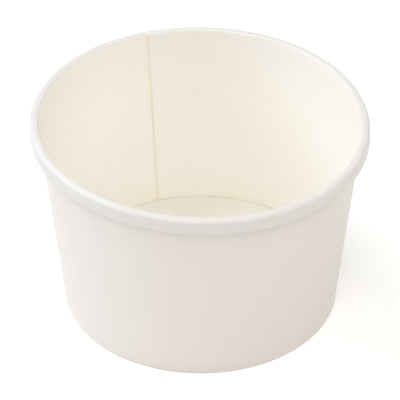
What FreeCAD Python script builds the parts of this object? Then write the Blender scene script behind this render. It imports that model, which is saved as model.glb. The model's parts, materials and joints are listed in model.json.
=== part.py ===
import FreeCAD, Part
import math
import os

# Paper sundae cup: a lapped paperboard side wall with a rolled rim, and a skirted floor disc held in its hem.
# Millimetres. The origin is the centre of the base, +Z is up, and the side seam is at the back, beyond +Y.

# Overall size: the base radius is outside the wall, and the flare is the wall's lean in degrees
cup_height = 60.0
base_radius = 39.2
wall_flare = 6.4

# Board
wall_board = 0.40
floor_board = 0.38

# Rolled rim: how far it reaches past the mouth's inside edge, its height and the outside of its bends, which are
# tight at the lip, wider over its crown and then the same twice at its foot
curl_reach = 2.47
curl_height = 4.8
lip_bend = 0.65
crown_bend = 1.2
foot_bend = 0.95
tail_clearance = 1.1
tail_gap = 0.15

# Floor and hem: the floor's height is to its top face, and the hem's free edge stops short of its underside
floor_height = 4.7
floor_bend = 0.60
hem_bend = 0.05
hem_clearance = 0.62
seal_gap = 0.03

# Side seam, seen from above: its inner edge is this many degrees from +X towards +Y, and its widths are
# measured along the rim
seam_angle = 109.0
seam_lap = 7.0
seam_ramp = 0.8

# The inside of a fold that is crushed flat, and the most of a straight run that the arcs at its ends may take
least_bend = 0.03
arc_share = 0.95

axis_foot = FreeCAD.Vector(0, 0, 0)
up = FreeCAD.Vector(0, 0, 1)


def point(pair):
    """A point of the half section, from its distance to the axis and its height."""
    return FreeCAD.Vector(pair[0], 0, pair[1])


def moved(pair, way, distance):
    """A point of the half section, moved along a direction."""
    return pair[0] + way[0] * distance, pair[1] + way[1] * distance


def between(start, end):
    """Direction and length of the straight run from one point to another."""
    length = math.hypot(end[0] - start[0], end[1] - start[1])
    return ((end[0] - start[0]) / length, (end[1] - start[1]) / length), length


def turn_of(way_in, way_out):
    """Sine of the turn from one direction to the next, positive to the left."""
    return way_in[0] * way_out[1] - way_in[1] * way_out[0]


def crossing(first, first_way, second, second_way):
    """Where two straight runs of the half section meet."""
    gap = (second[0] - first[0], second[1] - first[1])
    return moved(first, first_way, turn_of(gap, second_way) / turn_of(first_way, second_way))


def pressed_face(corners, bends, depths):
    """A face of bent board: each run moves to its right by its own depth, and its bends stay concentric."""
    ways = [between(start, end)[0] for start, end in zip(corners, corners[1:])]
    starts = [moved(corner, (way[1], -way[0]), depth) for corner, way, depth in zip(corners, ways, depths)]
    new_corners = [starts[0]]
    new_bends = []
    for i, bend in enumerate(bends, start=1):
        new_corners.append(crossing(starts[i - 1], ways[i - 1], starts[i], ways[i]))
        depth = min(depths[i - 1], depths[i])
        grown = bend + depth if turn_of(ways[i - 1], ways[i]) > 0 else bend - depth
        new_bends.append(max(grown, least_bend))
    last_way = ways[-1]
    new_corners.append(moved(corners[-1], (last_way[1], -last_way[0]), depths[-1]))
    return new_corners, new_bends


def face_edges(corners, bends):
    """Straight runs joined by tangent arcs. Where two arcs would take too much of a run, both become tighter."""
    runs = [between(start, end) for start, end in zip(corners, corners[1:])]
    half_turns = []
    for (way_in, _), (way_out, _) in zip(runs, runs[1:]):
        along = way_in[0] * way_out[0] + way_in[1] * way_out[1]
        half_turns.append(math.atan2(abs(turn_of(way_in, way_out)), along) / 2)
    trims = [0] + [bend * math.tan(half_turn) for bend, half_turn in zip(bends, half_turns)] + [0]
    room = [1 / max(1, (trims[i] + trims[i + 1]) / (length * arc_share)) for i, (_, length) in enumerate(runs)]

    edges = []
    start = corners[0]
    for i, half_turn in enumerate(half_turns, start=1):
        way_in, way_out = runs[i - 1][0], runs[i][0]
        trim = trims[i] * min(room[i - 1], room[i])
        radius = trim / math.tan(half_turn)
        before = moved(corners[i], way_in, -trim)
        after = moved(corners[i], way_out, trim)
        inward = between(way_in, way_out)[0]
        middle = moved(corners[i], inward, radius / math.cos(half_turn) - radius)
        edges.append(Part.LineSegment(point(start), point(before)).toShape())
        edges.append(Part.Arc(point(before), point(middle), point(after)).toShape())
        start = after
    edges.append(Part.LineSegment(point(start), point(corners[-1])).toShape())
    return edges


def board_section(near, far):
    """Outline of bent board between two faces, each given as its corners and bends."""
    edges = face_edges(*near) + face_edges(*far)
    for end in (0, -1):
        edges.append(Part.LineSegment(point(near[0][end]), point(far[0][end])).toShape())
    return Part.Wire(Part.sortEdges(edges)[0])


def turned(section, start_angle, sweep):
    """A half section turned about the cup's axis, with both angles in degrees."""
    face = Part.Face(section)
    face.rotate(axis_foot, up, start_angle)
    return face.revolve(axis_foot, up, sweep)


# Lines of the half section that follow the wall
slope = math.tan(math.radians(wall_flare))
lean = math.cos(math.radians(wall_flare))


def wall_inside(height, distance=0):
    """Radius at a height, on the wall's food side or on a parallel this far inside it."""
    return base_radius + slope * height - (wall_board + distance) / lean


# Side wall: the food side of the board from the hem's free edge, under the skirt, up the wall, round the rim
skirt_slot = floor_board + 2 * seal_gap
hem_height = floor_height - floor_board - hem_clearance
rim_radius = wall_inside(cup_height) + curl_reach
curl_foot = cup_height - curl_height
tail_height = cup_height - 2 * wall_board - tail_clearance
tail_distance = -2 * wall_board - tail_gap
food_corners = [
    (wall_inside(hem_height, skirt_slot), hem_height),
    (wall_inside(wall_board, skirt_slot), wall_board),
    (wall_inside(wall_board), wall_board),
    (wall_inside(cup_height), cup_height),
    (rim_radius, cup_height),
    (rim_radius, curl_foot),
    (wall_inside(curl_foot, tail_distance), curl_foot),
    (wall_inside(tail_height, tail_distance), tail_height),
]
food_bends = [hem_bend, hem_bend, lip_bend, crown_bend, foot_bend, foot_bend]

# Depths of the seven runs: hem, base fold, wall, top of the rim, its band, its underside and its tail.
# In the lap the base fold and the tail are pressed to one thickness, so the cup still stands flat.
one_ply = [wall_board] * 7
two_plies = [wall_board, 0, wall_board, wall_board, wall_board, wall_board, 0]
under_side = [depth + wall_board for depth in two_plies]

food_face = (food_corners, food_bends)
back_face = pressed_face(food_corners, food_bends, one_ply)
lap_middle = pressed_face(food_corners, food_bends, two_plies)
lap_back = pressed_face(food_corners, food_bends, under_side)

lap_sweep = math.degrees(seam_lap / rim_radius)
ramp_sweep = math.degrees(seam_ramp / rim_radius)

single_ply = turned(board_section(food_face, back_face), seam_angle + lap_sweep, 360 - lap_sweep - ramp_sweep)
sealed_lap = turned(board_section(food_face, lap_back), seam_angle, lap_sweep)

# The ramp, where the board lifts by its own thickness to pass over its inner end
ramp_start = board_section(food_face, back_face)
ramp_start.rotate(axis_foot, up, seam_angle - ramp_sweep)
ramp_finish = board_section(lap_middle, lap_back)
ramp_finish.rotate(axis_foot, up, seam_angle)
ramp = Part.makeLoft([ramp_start, ramp_finish], True, True)

cup_wall = single_ply.fuse([sealed_lap, ramp]).removeSplitter()

# Base disc: its top from the axis to its edge and down the skirt, which stands on the base fold
skirt_foot = wall_board + seal_gap
disc_corners = [
    (0, floor_height),
    (wall_inside(floor_height, seal_gap), floor_height),
    (wall_inside(skirt_foot, seal_gap), skirt_foot),
]
disc_bends = [floor_bend]
disc_back = pressed_face(disc_corners, disc_bends, [floor_board, floor_board])
base_disc = turned(board_section((disc_corners, disc_bends), disc_back), 0, 360)

os.makedirs("parts", exist_ok=True)
for name, shape in {"cup_wall": cup_wall, "base_disc": base_disc}.items():
    shape.Solids[0].exportStep("parts/" + name + ".step")
    print(name, len(shape.Solids), "solid", round(shape.Volume, 1), "mm3, valid:", shape.isValid())
print("rim radius", round(rim_radius, 3), "mouth radius", round(wall_inside(cup_height), 3))
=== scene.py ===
# %% [markdown]
# A paper sundae cup: one rolled blank of white paperboard with a lapped seam and a rolled rim, and a
# floor disc that is held in the blank's folded hem. The imported model gives the frame that everything
# stands in. This cell loads it and reads the cup's height from the wall's box and the rim's radius from the
# record.

# %% Load the frame
import json
import math

import bpy
import numpy as np
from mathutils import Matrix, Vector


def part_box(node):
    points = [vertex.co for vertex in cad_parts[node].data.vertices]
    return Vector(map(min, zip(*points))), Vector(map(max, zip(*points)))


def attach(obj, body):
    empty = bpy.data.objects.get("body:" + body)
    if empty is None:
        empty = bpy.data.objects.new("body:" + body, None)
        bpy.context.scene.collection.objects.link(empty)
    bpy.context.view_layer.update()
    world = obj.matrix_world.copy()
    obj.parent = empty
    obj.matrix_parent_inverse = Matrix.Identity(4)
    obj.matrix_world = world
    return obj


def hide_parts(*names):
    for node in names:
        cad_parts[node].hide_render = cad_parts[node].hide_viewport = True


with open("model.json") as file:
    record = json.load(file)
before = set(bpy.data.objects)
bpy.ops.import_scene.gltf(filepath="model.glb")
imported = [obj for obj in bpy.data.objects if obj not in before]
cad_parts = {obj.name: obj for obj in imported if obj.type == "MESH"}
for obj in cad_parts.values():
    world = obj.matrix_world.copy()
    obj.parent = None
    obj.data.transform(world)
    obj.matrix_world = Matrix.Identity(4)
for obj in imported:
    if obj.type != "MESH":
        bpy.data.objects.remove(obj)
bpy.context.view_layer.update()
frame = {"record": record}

MM = 0.001
wall_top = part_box("cup_wall")[1]
cup_height = wall_top.z / MM
mounts = {mount["name"]: mount for mount in frame["record"]["mounts"]}
rim_radius = mounts["rim_band"]["dims"]["r_mm"]
print("cup height", round(cup_height, 2), "mm, rim radius", rim_radius, "mm")

# %% [markdown]
# The camera comes first, because everything after it is judged through it. The photograph looks down at
# the cup from the front, and its rim is nearly a true ellipse, which says that the lens was long and far
# away. A long lens is made here with a real distance and a focal length to match, on Blender's usual
# sensor of 36 mm. A camera could also be aimed by a Track To constraint, but this one only tilts, so one
# angle says it all.

# %% Camera
camera_elevation = math.radians(36.39)
camera_distance = 1056 * MM
focal_length = 332.8
aim_height = 31.95 * MM
side_step = -0.165 * MM

lens = bpy.data.cameras.new("photo_lens")
lens.lens = focal_length
lens.sensor_width = 36
camera = bpy.data.objects.new("photo_camera", lens)
camera.location = (
    side_step,
    -camera_distance * math.cos(camera_elevation),
    aim_height + camera_distance * math.sin(camera_elevation),
)
camera.rotation_euler = (math.pi / 2 - camera_elevation, 0, 0)
bpy.context.collection.objects.link(camera)
bpy.context.scene.camera = camera
print("camera", [round(c, 3) for c in camera.location], "m")

# %% [markdown]
# Both pieces are bent board, so both start from the same idea: a half section drawn as straight runs with
# rounded corners, once for each face of the board. A run can be given any number of points, and as long
# as two sections have the same number they can be joined into a skin. The functions below move a face
# sideways by the board's thickness and turn its corners into arcs. A curve and a Solidify modifier could
# make such a sheet too, but then the hem, the seam and the rim couldn't each have their own thickness.

# %% Half sections of bent board
least_bend = 0.03


def directions(corners):
    """Unit direction of each straight run of an open line of corners."""
    runs = np.diff(np.asarray(corners, float), axis=0)
    return runs / np.linalg.norm(runs, axis=1)[:, None]


def pressed_face(corners, bends, depths):
    """Corners and bends of a face deeper in the board: each run moves right by its own depth."""
    ways = directions(corners)
    right = np.column_stack([ways[:, 1], -ways[:, 0]])
    starts = np.asarray(corners[:-1], float) + right * np.asarray(depths)[:, None]
    made = [starts[0]]
    new_bends = []
    for i, bend in enumerate(bends, start=1):
        two_ways = np.column_stack([ways[i - 1], -ways[i]])
        along = np.linalg.solve(two_ways, starts[i] - starts[i - 1])
        made.append(starts[i - 1] + ways[i - 1] * along[0])
        left_turn = ways[i - 1][0] * ways[i][1] - ways[i - 1][1] * ways[i][0] > 0
        depth = min(depths[i - 1], depths[i])
        new_bends.append(max(bend + depth if left_turn else bend - depth, least_bend))
    made.append(np.asarray(corners[-1]) + right[-1] * depths[-1])
    return np.array(made), new_bends


def face_points(corners, bends, run_steps, bend_steps):
    """Points along a face of straight runs with arcs at the corners, each cut into its own steps."""
    corners = np.asarray(corners, float)
    ways = directions(corners)
    points = []
    start = corners[0]
    for i, bend in enumerate(bends, start=1):
        way_in, way_out = ways[i - 1], ways[i]
        turn = math.acos(np.clip(way_in @ way_out, -1, 1))
        trim = bend * math.tan(turn / 2)
        before, after = corners[i] - way_in * trim, corners[i] + way_out * trim
        points += [start + (before - start) * k / run_steps[i - 1] for k in range(run_steps[i - 1])]
        inward = (way_out - way_in) / np.linalg.norm(way_out - way_in)
        middle = corners[i] + inward * bend / math.cos(turn / 2)
        spoke_in, spoke_out = before - middle, after - middle
        for k in range(bend_steps[i - 1]):
            share = k / bend_steps[i - 1]
            spoke = spoke_in * math.sin((1 - share) * turn) + spoke_out * math.sin(share * turn)
            points.append(middle + spoke / math.sin(turn))
        start = after
    points += [start + (corners[-1] - start) * k / run_steps[-1] for k in range(run_steps[-1] + 1)]
    return np.array(points)


# %% [markdown]
# The wall's board runs from the hem's free edge down inside the floor's skirt, under it, up the wall and
# round the rim. These are the sizes of that section in millimetres, as the solid model has them: the wall
# leans out by some six degrees, and the rim is a flattened roll, half as wide as it is high, with an
# upright face. That face is what makes the rim look like a band in the photograph, with no more than a
# thin bright line along its top.

# %% Sizes of the wall's section
base_radius = 39.2
wall_flare = math.radians(6.4)
wall_board = 0.40
floor_board = 0.38
seal_gap = 0.03
floor_height = 4.7
hem_clearance = 0.62
hem_bend = 0.05
lip_bend = 0.65
crown_bend = 1.2
foot_bend = 0.95
curl_height = 4.8
tail_clearance = 1.1
tail_gap = 0.15


def wall_inside(height, distance=0):
    """Radius of the wall's food side at a height, or of a parallel this far inside it."""
    return base_radius + math.tan(wall_flare) * height - (wall_board + distance) / math.cos(wall_flare)


print("mouth radius", round(wall_inside(cup_height), 2), "mm")

# %% Corners and bends of the wall's section
skirt_slot = floor_board + 2 * seal_gap
hem_height = floor_height - floor_board - hem_clearance
curl_foot = cup_height - curl_height
tail_height = cup_height - 2 * wall_board - tail_clearance
tail_distance = -2 * wall_board - tail_gap
food_corners = [
    (wall_inside(hem_height, skirt_slot), hem_height),
    (wall_inside(wall_board, skirt_slot), wall_board),
    (wall_inside(wall_board), wall_board),
    (wall_inside(cup_height), cup_height),
    (rim_radius, cup_height),
    (rim_radius, curl_foot),
    (wall_inside(curl_foot, tail_distance), curl_foot),
    (wall_inside(tail_height, tail_distance), tail_height),
]
food_bends = [hem_bend, hem_bend, lip_bend, crown_bend, foot_bend, foot_bend]
run_steps = [8, 1, 36, 3, 4, 2, 3]
bend_steps = [3, 3, 6, 7, 7, 6]
print(len(food_corners), "corners from the hem's edge to the rim's tail")

# %% [markdown]
# The blank is rolled up a little more than once round. Its inner end lies on the food side at the seam.
# Coming round to that end again, the board lifts by its own thickness in a short ramp and is sealed over
# it, and that leaves the fine dark groove that the photograph shows down the inside of the wall. So the
# blank is built as one long sheet of columns, from its inner end to its outer end, with a lift that goes
# from 0 to 1 in the ramp. The columns stand closer together beside the inner end and in the ramp, where
# the shape changes fast. Where the blank lies on itself, its base fold and the rim's tail are pressed to
# one thickness, so the cup still stands flat.

# %% Columns of the blank, in degrees from its inner end
seam_angle = 109.3
lap_width = 7.0
seam_lap = math.degrees(lap_width / rim_radius)
seam_ramp = 1.15
ramp_start = 360 - seam_ramp
rib_count = 96
column_step = 360 / (4 * rib_count)
strip_end = 2 * column_step
strip_steps = 8
ramp_steps = 6
lap_steps = 9
columns = np.concatenate([
    np.linspace(0, strip_end, strip_steps + 1)[:-1],
    np.arange(strip_end, ramp_start, column_step),
    np.linspace(ramp_start, 360, ramp_steps + 1),
    360 + np.linspace(0, seam_lap, lap_steps + 1)[1:],
])
print(len(columns), "columns")

# %% Section of each column
ply_gap = 0.01
press_fade = 2
base_fold_run = 1
tail_run = 6


def smooth_step(low, high, value):
    """0 below low, 1 above high, and a smooth rise between them."""
    share = np.clip((value - low) / (high - low), 0, 1)
    return share * share * (3 - 2 * share)


def column_section(lifted, covered):
    """Food-side and outer points of a column, from its shares as upper and as lower ply of the lap."""
    rise = lifted * (wall_board + ply_gap)
    half = (wall_board + ply_gap) / 2
    near = [rise] * len(run_steps)
    far = [rise + wall_board] * len(run_steps)
    for pressed_run in (base_fold_run, tail_run):
        near[pressed_run] = lifted * half
        far[pressed_run] = wall_board - covered * half
    return [
        face_points(*pressed_face(food_corners, food_bends, depths), run_steps, bend_steps)
        for depths in (near, far)
    ]


upper_share = smooth_step(ramp_start, 360, columns)
lower_share = 1 - smooth_step(seam_lap, seam_lap + press_fade, columns)
sections = np.array([
    column_section(lifted, covered)
    for lifted, covered in zip(upper_share, lower_share)
])
print(2 * sections.shape[2], "points in each column")

# %% [markdown]
# A machine-rolled cup is never quite a body of revolution. Board springs, so the mouth goes slightly
# oval, while the floor keeps the base round. In the photograph the rim is widest from back left to front
# right, by about half a millimetre, and its left side stands a little higher. Each of these is a wave
# that goes round the cup once, twice or three times, and fades to nothing at the floor. The wall also has
# faint flutes where the board took the roll, and the rim wanders by a few hundredths of a millimetre.
# Those are sums of many whole waves, which meet themselves after one turn, as a noise read along the
# angle would not.

# %% Waves that go round the cup
angles = seam_angle + columns
ripple_source = np.random.RandomState(7)


def wave(count, size, peak):
    """A wave with its count round the cup, its size in millimetres and the angle of a peak."""
    return size * np.cos(count * np.radians(angles - peak))[:, None, None]


def ripple(angles, first, last):
    """A wandering value of about -1 to 1 round the cup, made of whole waves between two counts."""
    counts = np.arange(first, last + 1)
    phases = ripple_source.uniform(0, 2 * math.pi, len(counts))
    weights = ripple_source.uniform(0.4, 1, len(counts))
    waves = np.sin(np.outer(np.radians(angles), counts) + phases) * weights
    return waves.sum(axis=1) / math.sqrt((weights ** 2).sum())


# %% Spring of the rim
rim_out = wave(1, 0.15, 238) + wave(2, 0.50, 129) + wave(3, 0.21, 69)
rim_up = wave(1, 0.17, 173) + wave(2, 0.13, 0) + wave(3, 0.12, 25)
height = sections[..., 1].copy()
above_floor = np.clip((height - floor_height) / (cup_height - floor_height), 0, 1)
sections[..., 0] += rim_out * above_floor
sections[..., 1] += rim_up * above_floor
print("rim out of round by", round(float(np.abs(rim_out).max()), 2), "mm at most")

# %% Flutes in the wall and wander of the rim
flute_depth = 0.05
rim_wander = 0.04
rim_zone = (cup_height - 14, cup_height - 3)
foot_zone = (6, 18)
near_rim = smooth_step(*rim_zone, height)
mid_wall = smooth_step(*foot_zone, height) * (1 - near_rim)
flutes = ripple(angles, 5, 26)[:, None, None] * flute_depth
wander_out = ripple(angles, 2, 30)[:, None, None] * rim_wander
wander_up = ripple(angles, 2, 24)[:, None, None] * rim_wander
sections[..., 0] += mid_wall * flutes + near_rim * wander_out
sections[..., 1] += near_rim * wander_up
print("flutes of", round(float(np.abs(flutes).max()), 3), "mm at most")

# %% [markdown]
# Two tools of the cup machine leave their marks. A knurled wheel presses ribs into the hem from under the
# floor, on the face that looks in at the axis. They are made by pressing that face into the board on
# every other pair of columns. The sealing bar leaves a shallow line beside the inner end of the board.
# Bump could draw both, but a shape in the mesh holds up from close by.

# %% Knurl in the hem and line of the sealing bar
rib_depth = 0.10
rib_foot = 0.5
rib_top = 3.1
rib_run_out = 0.4
hem_points = slice(1, run_steps[0])
hem_heights = height[:, 1, hem_points]
rib_window = smooth_step(rib_foot, rib_foot + rib_run_out, hem_heights)
rib_window *= 1 - smooth_step(rib_top - rib_run_out, rib_top, hem_heights)
rib_turn = np.radians(angles - column_step / 2 - seam_angle)
rib_wave = np.sign(np.sin(rib_turn * rib_count))
sections[:, 1, hem_points, 0] += rib_depth * (0.5 + 0.5 * rib_wave[:, None]) * rib_window

strip_depth = 0.05
strip_place = 1.1
strip_spread = 0.25
strip_angle = math.degrees(strip_place / wall_inside(cup_height / 2))
strip_dent = np.exp(-((columns - strip_angle) / strip_spread) ** 2) * strip_depth
on_wall = smooth_step(floor_height, floor_height + 1, height[:, 0])
sections[:, 0, :, 0] += strip_dent[:, None] * on_wall
print(rib_count, "ribs in the hem, and a line", strip_place, "mm from the board's inner end")

# %% [markdown]
# The skin joins neighbouring columns with quads. Each column is a closed loop of points, up one face of
# the board and back down the other, so the hem's and the curl's cut edges close by themselves, and only
# the two ends of the blank need a strip of their own. A Screw modifier could turn one section about the
# axis, but here every column differs. A material index is set per face: the food side and the outside
# have a film, and the cut edges are bare fibre. The seam isn't quite upright, so each point is turned a
# little further round the higher it stands.

# %% Skins for sheets of board
FOOD_SIDE, OUTSIDE, CUT_EDGE = range(3)
sharp_fold = math.radians(50)


def to_space(radii, heights, angles_deg):
    """Points in metres from radii and heights in millimetres and angles in degrees."""
    turn = np.radians(angles_deg)
    return np.stack([radii * np.cos(turn), radii * np.sin(turn), heights], axis=-1) * MM


def make_piece(name, points, faces, material_indices):
    """A smooth-shaded mesh object whose sharp folds stay sharp."""
    mesh = bpy.data.meshes.new(name)
    mesh.from_pydata(points.reshape(-1, 3).tolist(), [], faces)
    mesh.polygons.foreach_set("material_index", material_indices)
    mesh.polygons.foreach_set("use_smooth", [True] * len(faces))
    mesh.set_sharp_from_angle(angle=sharp_fold)
    mesh.validate()
    piece = bpy.data.objects.new(name, mesh)
    bpy.context.collection.objects.link(piece)
    print(name, len(mesh.vertices), "points,", len(mesh.polygons), "faces")
    return piece


# %% Skin of the rolled wall
seam_lean = 0.9
side_points = sections.shape[2]
loop_size = 2 * side_points
loops = np.concatenate([sections[:, 0], sections[:, 1, ::-1]], axis=1)
loop_lean = np.concatenate([above_floor[:, 0], above_floor[:, 1, ::-1]], axis=1) * seam_lean
wall_points = to_space(loops[..., 0], loops[..., 1], angles[:, None] + loop_lean)

wall_faces = []
wall_materials = []
for column in range(len(columns) - 1):
    here, there = column * loop_size, (column + 1) * loop_size
    for k in range(loop_size):
        after = (k + 1) % loop_size
        wall_faces.append((here + k, here + after, there + after, there + k))
        if k in (side_points - 1, loop_size - 1):
            wall_materials.append(CUT_EDGE)
        else:
            wall_materials.append(FOOD_SIDE if k < side_points else OUTSIDE)
last_loop = (len(columns) - 1) * loop_size
for k in range(side_points - 1):
    opposite = loop_size - 1 - k
    wall_faces.append((k, opposite, opposite - 1, k + 1))
    wall_faces.append((last_loop + k, last_loop + k + 1, last_loop + opposite - 1, last_loop + opposite))
    wall_materials += [CUT_EDGE, CUT_EDGE]
cup_wall = make_piece("rolled_wall", wall_points, wall_faces, wall_materials)

# %% [markdown]
# Three places on the food side have a colour of their own. Over the lip and all round the curl, the film
# is darkened to a greyer white: this is painted shade, which makes the lip and the rim's band darker than
# the light alone leaves them. In the lowest few millimetres above the floor, the film is made faintly
# amber: this is painted warm shade, for the warm light that bounces about deep in the cup. In the groove
# beside the inner end, the film is tinted faintly warmer. The material could work them out from the
# height, but the rim and the seam aren't level or upright. So they are kept on the mesh as one colour per
# point, for the material to multiply.

# %% Painted shade on the rolled rim and above the floor, and tint of the seam
# The greyer white over the lip and the curl is painted shade on the rim.
lip_painted_shade = np.array([0.81, 0.81, 0.82])
curl_painted_shade = np.array([0.77, 0.77, 0.775])
seam_tint = np.array([1.02, 1.0, 0.95])
# The faint amber above the floor is painted warm shade, deep in the cup.
foot_painted_warm_shade = np.array([1.0, 0.985, 0.93])
foot_painted_shade_height = 9
lip_start = sum(run_steps[:3]) + sum(bend_steps[:2])
lip_end = lip_start + bend_steps[2]
lip_spots = [lip_start, (lip_start + lip_end) / 2, lip_end]
in_groove = smooth_step(ramp_start, ramp_start + seam_ramp / 2, columns) * (columns <= 360)
in_groove[0] = 1
near_floor_shade = 1 - smooth_step(floor_height, floor_height + foot_painted_shade_height, height[:, 0])

# These colours per point carry painted shade over the rim and above the floor, and the seam's warmer tint.
painted_shade_and_tint = np.ones((len(columns), loop_size, 4))
for channel in range(3):
    rim_painted_shades = (1, lip_painted_shade[channel], curl_painted_shade[channel])
    painted_shade_and_tint[:, :side_points, channel] = np.interp(np.arange(side_points), lip_spots, rim_painted_shades)
painted_shade_and_tint[:, :side_points, :3] *= 1 - in_groove[:, None, None] * (1 - seam_tint)
painted_shade_and_tint[:, :side_points, :3] *= 1 - near_floor_shade[..., None] * (1 - foot_painted_warm_shade)
painted_shade_and_tint_layer = cup_wall.data.attributes.new("film_painted_shade_and_tint", "FLOAT_COLOR", "POINT")
painted_shade_and_tint_layer.data.foreach_set("color", painted_shade_and_tint.ravel())
print("tinted_with_painted_shade", int((painted_shade_and_tint < 1).any(axis=2).sum()), "points of the wall")

# %% [markdown]
# The floor is a disc of the same board, drawn down at its edge into a skirt. It is slightly crowned, as
# board is that has been pushed into a tapered wall, and the drawn corner is faintly pleated. Its section
# is made and turned about the axis as the wall's is, with a fan of triangles in the middle of each face.

# %% Section of the floor disc
floor_bend = 0.60
fan_radius = 0.5
skirt_foot = wall_board + seal_gap
disc_corners = [
    (fan_radius, floor_height),
    (wall_inside(floor_height, seal_gap), floor_height),
    (wall_inside(skirt_foot, seal_gap), skirt_foot),
]
disc_steps = ([26, 7], [6])
disc_top = face_points(disc_corners, [floor_bend], *disc_steps)
disc_under = face_points(*pressed_face(disc_corners, [floor_bend], [floor_board] * 2), *disc_steps)
disc_loop = np.concatenate([disc_top, disc_under[::-1]])
print("floor radius", round(disc_loop[:, 0].max(), 2), "mm")

# %% Crown and pleats of the floor
crown = 0.25
pleat_depth = 0.02
pleat_zone = (0.94, 0.985)
disc_columns = 288
disc_angles = np.arange(disc_columns) * 360 / disc_columns
reach = np.clip(disc_loop[:, 0] / base_radius, 0, 1)
on_floor = disc_loop[:, 1] > floor_height / 2
disc_radii = np.ones((disc_columns, 1)) * disc_loop[:, 0]
disc_heights = np.ones((disc_columns, 1)) * disc_loop[:, 1]
disc_heights += crown * (1 - reach ** 2) ** 2 * on_floor
pleats = ripple(disc_angles, 30, 70)[:, None] * pleat_depth
disc_heights += pleats * smooth_step(*pleat_zone, reach) * on_floor
disc_points = to_space(disc_radii, disc_heights, disc_angles[:, None] * np.ones(len(disc_loop)))
middle_heights = [floor_height + crown, floor_height - floor_board + crown]
middle_points = np.array([[0, 0, middle_height] for middle_height in middle_heights]) * MM
print("pleats of", round(float(np.abs(pleats).max()), 3), "mm at most")

# %% Skin of the floor disc
disc_size = len(disc_loop)
top_middle = disc_columns * disc_size
under_middle = top_middle + 1
disc_faces = []
disc_materials = []
for column in range(disc_columns):
    here, there = column * disc_size, (column + 1) % disc_columns * disc_size
    for k in range(disc_size - 1):
        disc_faces.append((here + k, here + k + 1, there + k + 1, there + k))
        if k == len(disc_top) - 1:
            disc_materials.append(CUT_EDGE)
        else:
            disc_materials.append(FOOD_SIDE if k < len(disc_top) else OUTSIDE)
    disc_faces.append((top_middle, here, there))
    disc_faces.append((under_middle, there + disc_size - 1, here + disc_size - 1))
    disc_materials += [FOOD_SIDE, OUTSIDE]
disc_all = np.concatenate([disc_points.reshape(-1, 3), middle_points])
base_disc = make_piece("floor_disc", disc_all, disc_faces, disc_materials)

# %% [markdown]
# Colours are written as sRGB hex values, as a paint chart gives them, and one function turns them into
# the linear values that the shader works in. One more small function adds a node, sets it up and links
# it, so that each material reads as a list of what it is made of.

# %% Colour and node helpers


def linear(hex_colour):
    """Linear RGBA from an sRGB hex value."""
    parts = [int(hex_colour[i:i + 2], 16) / 255 for i in (0, 2, 4)]
    return [p / 12.92 if p <= 0.04045 else ((p + 0.055) / 1.055) ** 2.4 for p in parts] + [1]


def add_node(material, kind, inputs=None, **settings):
    """A node with its settings made, and each input set or linked to another node's output."""
    tree = material.node_tree
    node = tree.nodes.new(kind)
    for name, value in settings.items():
        setattr(node, name, value)
    for name, value in (inputs or {}).items():
        if isinstance(value, bpy.types.NodeSocket):
            tree.links.new(value, node.inputs[name])
        else:
            node.inputs[name].default_value = value
    return node


def new_material(name):
    """An empty node material and the output that its surface goes to."""
    material = bpy.data.materials.new(name)
    material.use_nodes = True
    material.node_tree.nodes.clear()
    return material, add_node(material, "ShaderNodeOutputMaterial")


def set_stops(ramp_node, stops):
    """Colour stops of a ramp, as pairs of a position and a colour."""
    ramp = ramp_node.color_ramp
    while len(ramp.elements) < len(stops):
        ramp.elements.new(0.5)
    for element, (position, colour) in zip(ramp.elements, stops):
        element.position = position
        element.color = colour


# %% [markdown]
# The board of paper cups is bleached wood pulp, pressed into a sheet of about 0.4 mm and coated with a
# thin film of polyethylene. The pulp isn't spread evenly: held to the light it is cloudy, with clouds
# about three millimetres wide, and its fibres run with the sheet, thin and some millimetres long. The
# film is clear and has the fine matt of the steel roll that it was cooled on, so the sheet is white with
# a soft sheen and no mirror. Polyethylene has an IOR of 1.51. The real fibres are thinner than a pixel of
# the render, so they are drawn about 0.35 mm wide, which is as coarse as they need to be to show. Each
# size below is the step of a noise, and a patch of the noise is about half of that wide. All the patterns
# are noise in the object's own space, because a picture of paper would need an unwrapped mesh and show
# its seams.

# %% Board with polyethylene film
cloud_size = 6 * MM
fibre_size = 0.7 * MM
matt_size = 0.5 * MM
up_the_wall = (1, 1, 0.12)
side_to_side = (0.12, 1, 1)


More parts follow.
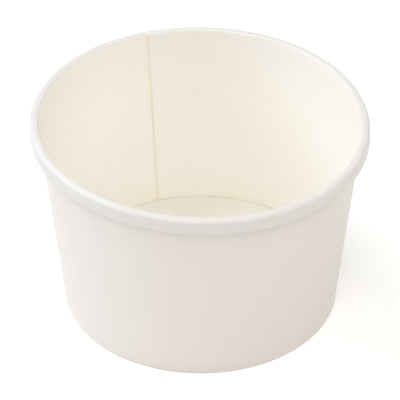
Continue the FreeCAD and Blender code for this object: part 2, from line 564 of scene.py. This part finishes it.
def board_material(name, pale, deep, roughness, fibre_height, along=up_the_wall, tinted_with_painted_shade=False):
    """White board under a film, with cloudy pulp, fibres that run one way and a matt roll finish."""
    material, output = new_material(name)
    place = add_node(material, "ShaderNodeTexCoord").outputs["Object"]
    stretched = add_node(material, "ShaderNodeMapping", {"Vector": place, "Scale": along}).outputs["Vector"]
    clouds = add_node(material, "ShaderNodeTexNoise", {
        "Vector": place, "Scale": 1 / cloud_size, "Detail": 3, "Roughness": 0.55,
    })
    fibres = add_node(material, "ShaderNodeTexNoise", {
        "Vector": stretched, "Scale": 1 / fibre_size, "Detail": 2, "Roughness": 0.6, "Distortion": 0.4,
    })
    pulp = add_node(material, "ShaderNodeMath", {
        0: clouds.outputs["Fac"], 1: fibres.outputs["Fac"], 2: 0.5,
    }, operation="MULTIPLY_ADD")
    colour = add_node(material, "ShaderNodeValToRGB", {"Fac": pulp.outputs[0]})
    set_stops(colour, [(0.45, linear(deep)), (1.0, linear(pale))])
    # Where asked, the colour is multiplied by the mesh's colour per point, which holds painted shade.
    if tinted_with_painted_shade:
        film_painted_shade_and_tint = add_node(material, "ShaderNodeAttribute", attribute_name="film_painted_shade_and_tint").outputs["Color"]
        colour = add_node(material, "ShaderNodeMixRGB", {
            "Fac": 1, "Color1": colour.outputs["Color"], "Color2": film_painted_shade_and_tint,
        }, blend_type="MULTIPLY")
    matt = add_node(material, "ShaderNodeTexNoise", {"Vector": place, "Scale": 1 / matt_size, "Detail": 2})
    sheen = add_node(material, "ShaderNodeMapRange", {
        "Value": clouds.outputs["Fac"], "From Min": 0.3, "From Max": 0.7,
        "To Min": roughness - 0.04, "To Max": roughness + 0.04,
    })
    grain = add_node(material, "ShaderNodeMath", {
        0: matt.outputs["Fac"], 1: 0.6, 2: fibres.outputs["Fac"],
    }, operation="MULTIPLY_ADD")
    relief = add_node(material, "ShaderNodeBump", {
        "Height": grain.outputs[0], "Strength": 0.35, "Distance": fibre_height * MM,
    })
    surface = add_node(material, "ShaderNodeBsdfPrincipled", {
        "Base Color": colour.outputs["Color"], "Roughness": sheen.outputs["Result"], "IOR": 1.51,
        "Normal": relief.outputs["Normal"],
    })
    material.node_tree.links.new(surface.outputs["BSDF"], output.inputs["Surface"])
    print(name, "from", deep, "to", pale)
    return material


inside_film = board_material("coated_paperboard_inside", "f9f6f0", "f7f3eb", 0.42, 0.02, tinted_with_painted_shade=True)
outside_film = board_material("coated_paperboard_outside", "e7e1d9", "e5dfd7", 0.50, 0.025)
# The floor's film is the same board as the wall's food side, painted darker and warmer: painted shade at
# the bottom of the cup.
floor_film_painted_shade = board_material("coated_paperboard_floor_painted_shade", "ebe7dd", "e9e5db", 0.44, 0.02, side_to_side)

# %% [markdown]
# Where the die cut the board, the film ends and the pressed layers of pulp show. They are a little
# creamier than the film, quite matt, and have fine lines along the edge, one for each layer, about a
# tenth of a millimetre apart. The edge is thinner than a pixel from the camera, so a fine noise stands
# for them.

# %% Bare cut edge
layer_size = 0.2 * MM


def cut_edge_material():
    """Bare pulp at a cut, with its pressed layers."""
    material, output = new_material("cut_paperboard_edge")
    place = add_node(material, "ShaderNodeTexCoord").outputs["Object"]
    layers = add_node(material, "ShaderNodeTexNoise", {
        "Vector": place, "Scale": 1 / layer_size, "Detail": 4, "Roughness": 0.7,
    })
    colour = add_node(material, "ShaderNodeValToRGB", {"Fac": layers.outputs["Fac"]})
    set_stops(colour, [(0.3, linear("dccfb4")), (0.7, linear("ece2cc"))])
    relief = add_node(material, "ShaderNodeBump", {
        "Height": layers.outputs["Fac"], "Strength": 0.6, "Distance": 0.05 * MM,
    })
    surface = add_node(material, "ShaderNodeBsdfPrincipled", {
        "Base Color": colour.outputs["Color"], "Roughness": 0.85, "IOR": 1.5,
        "Normal": relief.outputs["Normal"],
    })
    material.node_tree.links.new(surface.outputs["BSDF"], output.inputs["Surface"])
    return material


cut_edge = cut_edge_material()
for material in (inside_film, outside_film, cut_edge):
    cup_wall.data.materials.append(material)
for material in (floor_film_painted_shade, outside_film, cut_edge):
    base_disc.data.materials.append(material)
print("wall:", [material.name for material in cup_wall.data.materials])
print("floor:", [material.name for material in base_disc.data.materials])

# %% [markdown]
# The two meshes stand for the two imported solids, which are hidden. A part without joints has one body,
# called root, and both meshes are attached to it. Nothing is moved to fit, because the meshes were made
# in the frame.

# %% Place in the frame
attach(cup_wall, "root")
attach(base_disc, "root")
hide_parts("cup_wall")
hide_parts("base_disc")
print("placed", cup_wall.name, "and", base_disc.name)

# %% [markdown]
# The floor is a plain pale sheet that carries the cup's shadow. A photograph of a white thing on white
# needs a white ground, and raising the lamps would burn out the cup. So the ground is given a faint glow
# that only the camera and its reflections see: it lifts the ground to white and leaves the shadow and the
# cup alone.

# %% Ground
ground_half = 3.0
ground_height = -0.02 * MM
ground_glow = 0.2
ground_mesh = bpy.data.meshes.new("ground")
ground_mesh.from_pydata(
    [(x * ground_half, y * ground_half, ground_height) for x, y in ((-1, -1), (1, -1), (1, 1), (-1, 1))],
    [],
    [(0, 1, 2, 3)],
)
ground = bpy.data.objects.new("ground", ground_mesh)
bpy.context.collection.objects.link(ground)


def camera_sees(material):
    """1 for a ray from the camera, straight or by a mirror or glass, and 0 for the rays that light."""
    path = add_node(material, "ShaderNodeLightPath").outputs
    seen = add_node(material, "ShaderNodeMath", {
        0: path["Is Camera Ray"], 1: path["Is Glossy Ray"],
    }, operation="ADD")
    seen_at_all = add_node(material, "ShaderNodeMath", {
        0: seen.outputs[0], 1: path["Is Transmission Ray"],
    }, operation="ADD", use_clamp=True)
    return seen_at_all.outputs[0]


ground_paint, ground_output = new_material("ground_matt_paint")
glow = add_node(ground_paint, "ShaderNodeMath", {
    0: camera_sees(ground_paint), 1: ground_glow,
}, operation="MULTIPLY")
paint = add_node(ground_paint, "ShaderNodeBsdfPrincipled", {
    "Base Color": linear("f5f5f5"), "Roughness": 0.9, "Emission Color": linear("ffffff"),
    "Emission Strength": glow.outputs[0],
})
ground_paint.node_tree.links.new(paint.outputs["BSDF"], ground_output.inputs["Surface"])
ground.data.materials.append(ground_paint)
print("ground", 2 * ground_half, "m wide")

# %% [markdown]
# The light is that of a product studio, with five soft lamps and white walls. Two faintly cool lamps
# stand high on the left, one faces the cup from high in front, with a weak warm one below it, and one on
# the right fills the other side. One large lamp would light the cup as softly, but several can be set one
# by one: their powers and shades were changed until each side of the cup was as bright and as warm as in
# the photograph. The walls are the world. It lights the cup a little from all round, and rays from the
# camera see it as plain white.

# %% Lamps
lamp_distance = 1.2
lamp_size = 0.8


def soft_lamp(name, azimuth, elevation, power, shade):
    """A square lamp that faces the cup, placed by its direction from the cup in degrees."""
    lamp = bpy.data.lights.new(name, "AREA")
    lamp.size = lamp_size
    lamp.energy = power
    lamp.color = linear(shade)[:3]
    holder = bpy.data.objects.new(name, lamp)
    turn, rise = math.radians(azimuth), math.radians(elevation)
    holder.location = (
        lamp_distance * math.cos(turn) * math.cos(rise),
        lamp_distance * math.sin(turn) * math.cos(rise),
        lamp_distance * math.sin(rise),
    )
    holder.rotation_euler = (math.pi / 2 - rise, 0, turn + math.pi / 2)
    bpy.context.collection.objects.link(holder)
    print(name, [round(c, 2) for c in holder.location], "m")


soft_lamp("left_lamp", 180, 35, 4.7, "e7f0ff")
soft_lamp("back_left_lamp", 150, 50, 5.6, "f8fbff")
soft_lamp("front_top_lamp", 270, 60, 4.85, "fafffe")
soft_lamp("front_lamp", 270, 35, 1.8, "ffe2da")
soft_lamp("right_lamp", 0, 40, 3.85, "fffdf6")

# %% White walls
wall_strength = 0.30
world = bpy.data.worlds.new("studio_walls")
world.use_nodes = True
bpy.context.scene.world = world
world.node_tree.nodes.clear()
white = linear("ffffff")
wall_light = add_node(world, "ShaderNodeBackground", {"Color": white, "Strength": wall_strength})
wall_seen = add_node(world, "ShaderNodeBackground", {"Color": white, "Strength": 1})
choice = add_node(world, "ShaderNodeMixShader", {
    0: camera_sees(world), 1: wall_light.outputs[0], 2: wall_seen.outputs[0],
})
add_node(world, "ShaderNodeOutputWorld", {"Surface": choice.outputs[0]})
bpy.context.scene.view_settings.view_transform = "Standard"
print("walls light with a strength of", wall_strength)
